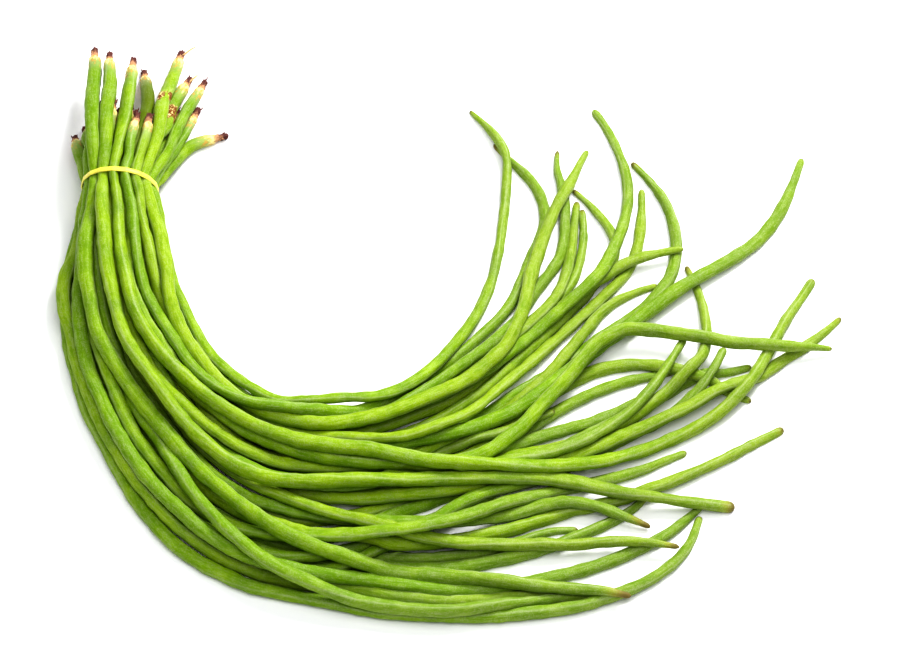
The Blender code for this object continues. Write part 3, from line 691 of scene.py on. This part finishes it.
def pod_material(settings):
    """Bean skin: mottled green with pale flecks and seams (partly painted sheen), a pale collar, a dried stub
    and a browned tip.
    """
    material, tree, shader = new_material("Bean Skin")
    place = painted(tree, "straight", vector=True)
    mottle, streaks, specks, height = grain(tree, place, *SKIN_GRAIN)
    along, from_tip = painted(tree, "from_stub"), painted(tree, "from_tip")
    blotch = pattern(tree, place, BLOTCH_SCALE, 3.0, 0.7)
    skin = skin_colour(tree, settings, place, mottle, streaks, specks)
    spots = pattern(tree, place, SPOT_SCALE, 4.0, 0.75).ramp(0.70, 0.78)
    skin = mix(tree, spots * 0.6, skin, settings.scar)
    lengthwise = scaled(tree, place, (1.0, 1.0, 0.3), "MULTIPLY")
    sided = pattern(tree, lengthwise, SCAR_SCALE, 3.0, 0.65)
    wound = painted(tree, "scarred")
    scarred = (wound * 0.30 + sided).ramp(0.66, 0.74) * wound.ramp(0.05, 0.3)
    skin = mix(tree, scarred, skin, mix(tree, blotch.ramp(0.36, 0.52), settings.collar, settings.scar))
    shoulder = settings.stub_length + settings.collar_length
    uneven = (blotch - 0.5) * 0.010 + (streaks - 0.5) * 0.012
    ripe = (along + uneven).ramp(shoulder + 0.010, shoulder)
    skin = mix(tree, ripe * 0.25, skin, settings.skin_pale_and_sheen)
    collar = (along + uneven * 1.6).ramp(shoulder + 0.0004, settings.stub_length + 0.0006)
    skin = mix(tree, collar * 0.8, skin, settings.collar)
    marks = (mottle * 0.6 + streaks * 0.6).ramp(0.60, 0.68)
    rusty = (along - uneven).ramp(shoulder + 0.0050, shoulder) * marks
    skin = mix(tree, rusty * 0.65, skin, settings.rust)
    stub = (along + uneven * 0.5).ramp(settings.stub_length + 0.0006, settings.stub_length - 0.0010)
    torn = (blotch * 2.0 + streaks - along * 150.0).ramp(0.45, 0.95)
    skin = mix(tree, stub, skin, mix(tree, torn, settings.stub, settings.stub_dark))
    browned = painted(tree, "browned")
    withered = (from_tip + uneven * 0.3).ramp(browned * 1.5, browned * 0.3)
    yellowed = (from_tip + uneven).ramp(browned * 2.0 + 0.002, 0.0) * (browned * 60.0).at_most(0.4)
    skin = mix(tree, yellowed, skin, settings.rust)
    skin = mix(tree, withered * 0.75, skin, settings.withered)
    link(tree, skin, shader.inputs["Base Color"])
    link(tree, mottle * 0.25 + 0.42 + stub * 0.4 + scarred * 0.3, shader.inputs["Roughness"])
    shader.inputs["Specular IOR Level"].default_value = 0.15
    finish_shader(tree, shader, height + blotch * stub, 0.6, 0.0004, 0.06, (0.0015, 0.0022, 0.0006))
    return material


def band_material(settings):
    """Yellow rubber with a faint bloom and fine stretch marks along the band."""
    material, tree, shader = new_material("Band Rubber")
    place = add_node(tree, "ShaderNodeTexCoord").outputs["Object"]
    bloom, marks, _, height = grain(tree, place, *BAND_GRAIN)
    dim = tuple(channel * 0.82 for channel in settings.rubber)
    rubber = mix(tree, (bloom + marks * 0.3).ramp(0.4, 0.8), dim, settings.rubber)
    link(tree, rubber, shader.inputs["Base Color"])
    link(tree, bloom * 0.2 + 0.35, shader.inputs["Roughness"])
    finish_shader(tree, shader, height, 0.25, 0.0002, 0.2, (0.002, 0.0015, 0.0004))
    return material


# --- the rubber band -----------------------------------------------------------------------------

BAND_INPUTS = (("Loop", "NodeSocketGeometry"), ("Width", "NodeSocketFloat"), ("Thickness", "NodeSocketFloat"),
               ("Rubber", "NodeSocketMaterial"))


def band_tree():
    """Geometry nodes that draw a flat strip with rounded edges round a closed loop."""
    tree, given = new_tree("Band Strip", BAND_INPUTS)
    curve = add_node(tree, "GeometryNodeMeshToCurve", {"Mesh": given["Loop"]})
    outline = add_node(tree, "GeometryNodeCurvePrimitiveQuadrilateral", {
        "Width": given["Width"], "Height": given["Thickness"]})
    rounded = add_node(tree, "GeometryNodeFilletCurve", {
        "Curve": outline.outputs[0], "Radius": Field(tree, given["Thickness"]) * 0.35})
    strip = add_node(tree, "GeometryNodeCurveToMesh", {
        "Curve": curve.outputs[0], "Profile Curve": rounded.outputs[0]})
    finish_tree(tree, strip.outputs[0], given["Rubber"])
    return tree


def reach_of(runs, centre, level, turn):
    """How far the pods that cross a level stand out from the band's middle, in one direction."""
    across, up = math.cos(turn), math.sin(turn)
    reaches = []
    for line, radius in runs:
        order = np.argsort(line[:, 1])
        x, z, thick = (np.interp(level, line[order, 1], values[order])
                       for values in (line[:, 0], line[:, 2], radius))
        reaches.append((x - centre[0]) * across + (z - centre[2]) * up + thick)
    return max(reaches)


def band_loop(runs, centre, slant, gap):
    """The tight loop round the pods in the band's slanting plane, as points."""
    turns = np.linspace(0, math.tau, LOOP_POINTS, endpoint=False)
    half_span = np.ptp([line[:, 0].mean() for line, _ in runs]) / 2
    reach = np.array([reach_of(runs, centre, centre[1] + math.tan(slant) * math.cos(turn) * half_span, turn)
                      for turn in turns]) + gap
    rate = (np.roll(reach, -1) - np.roll(reach, 1)) / (2 * math.tau / len(turns))
    x = reach * np.cos(turns) - rate * np.sin(turns)
    z = reach * np.sin(turns) + rate * np.cos(turns)
    level = centre[2] + z
    return np.stack((centre[0] + x, centre[1] + math.tan(slant) * x, np.maximum(level, gap)), axis=1)


# --- operators -----------------------------------------------------------------------------------

def band_middle():
    low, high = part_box(BAND)
    return np.array((low + high) / 2)


class BEANS_OT_pods(bpy.types.Operator):
    """Sweep a detailed skin along every pod of the bunch"""

    bl_idname = "beans.make_pods"
    bl_label = "Make Pods"

    def execute(self, context):
        settings = context.scene.bean_pods
        tree, material = pod_tree(), pod_material(settings)
        for number, name in enumerate(PODS, start=1):
            make_pod(name, number, tree, material, settings, band_middle())
        return {"FINISHED"}


class BEANS_OT_band(bpy.types.Operator):
    """Wrap the rubber band round the pods"""

    bl_idname = "beans.make_band"
    bl_label = "Make Rubber Band"

    def execute(self, context):
        settings = context.scene.bean_band
        centre = band_middle()
        runs = []
        for name in PODS:
            line, radius = pod_run(name, centre)
            near = np.sqrt(((line - centre)**2).sum(axis=1)) < BAND_REACH
            runs.append((line[near], radius[near]))
        loop = band_loop(runs, centre, settings.slant, settings.thickness / 2)
        mesh = bpy.data.meshes.new("band_loop")
        mesh.from_pydata([tuple(point) for point in loop], [(k - 1, k) for k in range(len(loop))], [])
        mesh.validate()
        piece = through_nodes("band_strip", mesh, band_tree(), {
            "Width": settings.width, "Thickness": settings.thickness,
            "Rubber": band_material(settings)})
        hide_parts(BAND)
        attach(piece, "root")
        return {"FINISHED"}


def add_light(name, power, size, place):
    """A round soft light that points at the middle of the floor."""
    data = bpy.data.lights.new(name, "AREA")
    data.energy = power
    data.shape = "DISK"
    data.size = size
    lamp = add_object(name, data)
    lamp.location = place
    lamp.rotation_euler = (-Vector(place)).to_track_quat("-Z", "Y").to_euler()


def lay_floor(settings):
    """Lays a wide pale floor under the bunch."""
    half = FLOOR_HALF
    corners = [(-half, -half, 0), (half, -half, 0), (half, half, 0), (-half, half, 0)]
    mesh = bpy.data.meshes.new("floor")
    mesh.from_pydata(corners, [], [(0, 1, 2, 3)])
    material, _, shader = new_material("Pale Floor")
    shader.inputs["Base Color"].default_value = (*settings.floor, 1)
    shader.inputs["Roughness"].default_value = 0.9
    mesh.materials.append(material)
    add_object("floor", mesh)


def set_lights(settings):
    """Sets a slanting light, one overhead and an even sky."""
    add_light("key", settings.key_power, KEY_SIZE, KEY_PLACE)
    add_light("top", settings.top_power, TOP_SIZE, TOP_PLACE)
    world = bpy.data.worlds.new("soft sky")
    world.use_nodes = True
    background = world.node_tree.nodes["Background"]
    background.inputs["Color"].default_value = SKY_COLOUR
    background.inputs["Strength"].default_value = settings.sky
    bpy.context.scene.world = world


def set_camera(settings):
    """Sets a camera far off that looks down at the whole bunch."""
    data = bpy.data.cameras.new("camera")
    data.sensor_width = SENSOR_WIDTH
    data.lens = SENSOR_WIDTH * settings.distance / settings.view_width
    data.clip_end = 20.0
    camera = add_object("camera", data)
    band = band_middle()
    middle = Vector((band[0] + VIEW_FROM_BAND[0], band[1] + VIEW_FROM_BAND[1], 0.0))
    back = Vector((0, -math.cos(settings.elevation), math.sin(settings.elevation)))
    camera.location = middle + back * settings.distance
    camera.rotation_euler = (-back).to_track_quat("-Z", "Y").to_euler()
    bpy.context.scene.camera = camera


class BEANS_OT_stage(bpy.types.Operator):
    """Lay the pale floor and set the soft lights and the camera"""

    bl_idname = "beans.make_stage"
    bl_label = "Make Stage"

    def execute(self, context):
        settings = context.scene.bean_stage
        lay_floor(settings)
        set_lights(settings)
        set_camera(settings)
        context.scene.view_settings.view_transform = "Standard"
        context.scene.view_settings.look = "High Contrast"
        return {"FINISHED"}


class BEANS_PT_sidebar(bpy.types.Panel):
    """Settings and makers of the bean bunch"""

    bl_label = "Yardlong Beans"
    bl_idname = "BEANS_PT_sidebar"
    bl_space_type = "VIEW_3D"
    bl_region_type = "UI"
    bl_category = "Beans"

    def draw(self, context):
        scene = context.scene
        for group, maker in ((scene.bean_pods, BEANS_OT_pods), (scene.bean_band, BEANS_OT_band),
                             (scene.bean_stage, BEANS_OT_stage)):
            box = self.layout.box()
            for key in group.__annotations__:
                box.prop(group, key)
            box.operator(maker.bl_idname)


CLASSES = (BeanPodSettings, BeanBandSettings, BeanStageSettings, BEANS_OT_pods, BEANS_OT_band, BEANS_OT_stage,
           BEANS_PT_sidebar)
GROUPS = {"bean_pods": BeanPodSettings, "bean_band": BeanBandSettings, "bean_stage": BeanStageSettings}


def register():
    for item in CLASSES:
        bpy.utils.register_class(item)
    for key, group in GROUPS.items():
        setattr(bpy.types.Scene, key, bpy.props.PointerProperty(type=group))


def unregister():
    for key in GROUPS:
        delattr(bpy.types.Scene, key)
    for item in reversed(CLASSES):
        bpy.utils.unregister_class(item)


def main():
    register()
    bpy.ops.beans.make_stage()
    bpy.ops.beans.make_pods()
    bpy.ops.beans.make_band()


if __name__ == "__main__":
    main()
